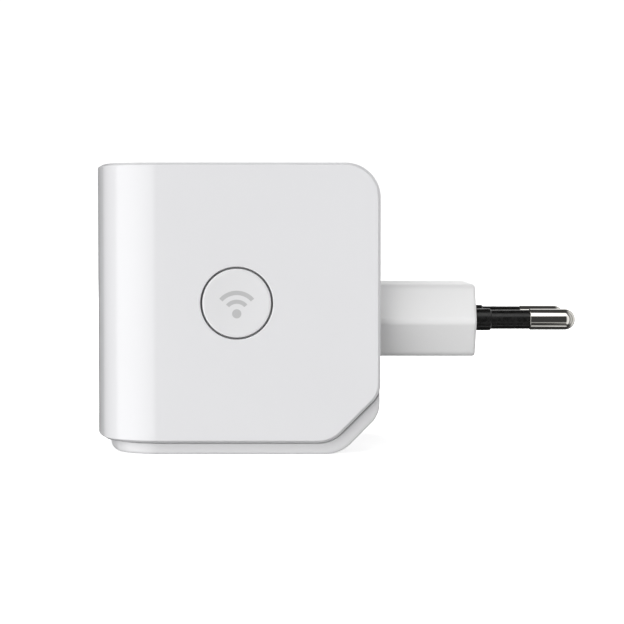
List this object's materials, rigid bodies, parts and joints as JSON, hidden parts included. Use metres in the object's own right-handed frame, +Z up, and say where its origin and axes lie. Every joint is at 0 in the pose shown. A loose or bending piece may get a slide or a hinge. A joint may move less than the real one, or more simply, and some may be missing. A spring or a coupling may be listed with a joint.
{
  "type": "plug-in mains unit",
  "caption": "Compact white plug-in mains unit: wrap-round cover on a rear housing, two-pin plug block at the back, round push button on one side, boards inside.",
  "frame": {"origin": "centre of the plug's engagement face, midway between the two pins", "axes": "+X along the pins, into the wall socket; +Z up; the push button is on the -Y side and the bowed front faces -X"},
  "size_m": [0.092, 0.049, 0.054],
  "materials": {
    "cover_plastic": "glossy white moulded plastic",
    "housing_plastic": "satin white moulded plastic",
    "plug_plastic": "satin white moulded plastic",
    "button_plastic": "glossy white moulded plastic",
    "screw_steel": "zinc plated",
    "black_plastic": "matte black",
    "sleeve_plastic": "satin black",
    "pin_nickel": "polished nickel plate",
    "contact_brass": "bare brass",
    "spring_steel": "bright drawn wire",
    "light_pipe_clear": "clear to milky, polished ends",
    "label_film": "blank satin film",
    "board_green": "green solder mask",
    "board_tan": "bare paper laminate",
    "switch_plunger": "matte black",
    "shield_tin": "tin plated",
    "chip_epoxy": "matte epoxy",
    "thermal_pad": "soft silicone",
    "heat_sink_aluminium": "plain extruded",
    "antenna_metal": "bright sheet",
    "led_lens": "clear resin",
    "passive_ceramic": "fired ceramic",
    "ferrite": "sintered ferrite",
    "bobbin_nylon": "natural nylon",
    "winding_tape": "yellow polyester tape",
    "can_sleeve": "shrunk sleeve",
    "fuse_glass": "plated end caps",
    "choke_copper": "enamelled copper",
    "disc_blue": "dipped epoxy",
    "disc_orange": "dipped epoxy",
    "insulation_film": "thin film"
  },
  "bodies": {
    "housing": {"wrap_cover": "cover_plastic", "rear_housing": "housing_plastic", "plug_block": "plug_plastic", "plug_screws": "screw_steel", "pin_carrier": "black_plastic", "carrier_screw": "screw_steel", "live_pin": "pin_nickel", "neutral_pin": "pin_nickel", "live_pin_sleeve": "sleeve_plastic", "neutral_pin_sleeve": "sleeve_plastic", "mains_contact_live": "contact_brass", "mains_contact_neutral": "contact_brass", "button_guide": "housing_plastic", "button_spring": "spring_steel", "light_pipe": "light_pipe_clear", "rating_label": "label_film", "main_board": "board_green", "pair_switch_body": "black_plastic", "reset_switch_body": "black_plastic", "shield_frame": "shield_tin", "shield_lid": "shield_tin", "wifi_chip": "chip_epoxy", "thermal_pad": "thermal_pad", "heat_sink": "heat_sink_aluminium", "memory_chips": "chip_epoxy", "clock_crystal": "shield_tin", "antenna_left": "antenna_metal", "antenna_right": "antenna_metal", "status_led": "led_lens", "main_board_passives": "passive_ceramic", "power_inductors": "ferrite", "board_header": "contact_brass", "board_socket": "black_plastic", "power_board": "board_tan", "board_screws": "screw_steel", "transformer_core": "ferrite", "transformer_bobbin": "bobbin_nylon", "transformer_winding": "winding_tape", "input_capacitors": "can_sleeve", "output_capacitors": "can_sleeve", "mains_fuse": "fuse_glass", "bridge_rectifier": "chip_epoxy", "line_choke": "choke_copper", "y_capacitor": "disc_blue", "surge_varistor": "disc_orange", "optocoupler": "chip_epoxy", "controller_chip": "chip_epoxy", "output_diode": "chip_epoxy", "power_board_passives": "passive_ceramic", "insulation_sheet": "insulation_film"},
    "side_button": {"side_button": "button_plastic"},
    "pair_plunger": {"pair_switch_plunger": "switch_plunger"},
    "reset_plunger": {"reset_switch_plunger": "switch_plunger"}
  },
  "joints": [
    {"name": "side_button_press", "type": "slide", "parent": "housing", "child": "side_button", "axis": [0, 1, 0], "range_m": [0, 0.0004], "stiffness_N_per_m": 1500, "springref_m": -0.0005, "deforming": ["button_spring"]},
    {"name": "pair_plunger_press", "type": "slide", "parent": "housing", "child": "pair_plunger", "axis": [0, 1, 0], "range_m": [0, 0.0004]},
    {"name": "reset_plunger_press", "type": "slide", "parent": "housing", "child": "reset_plunger", "axis": [0, 0, 1], "range_m": [0, 0.0003], "stiffness_N_per_m": 1500, "springref_m": -0.0005}
  ],
  "couplings": [
    {"joint": "pair_plunger_press", "follows": "side_button_press", "ratio": 1}
  ]
}
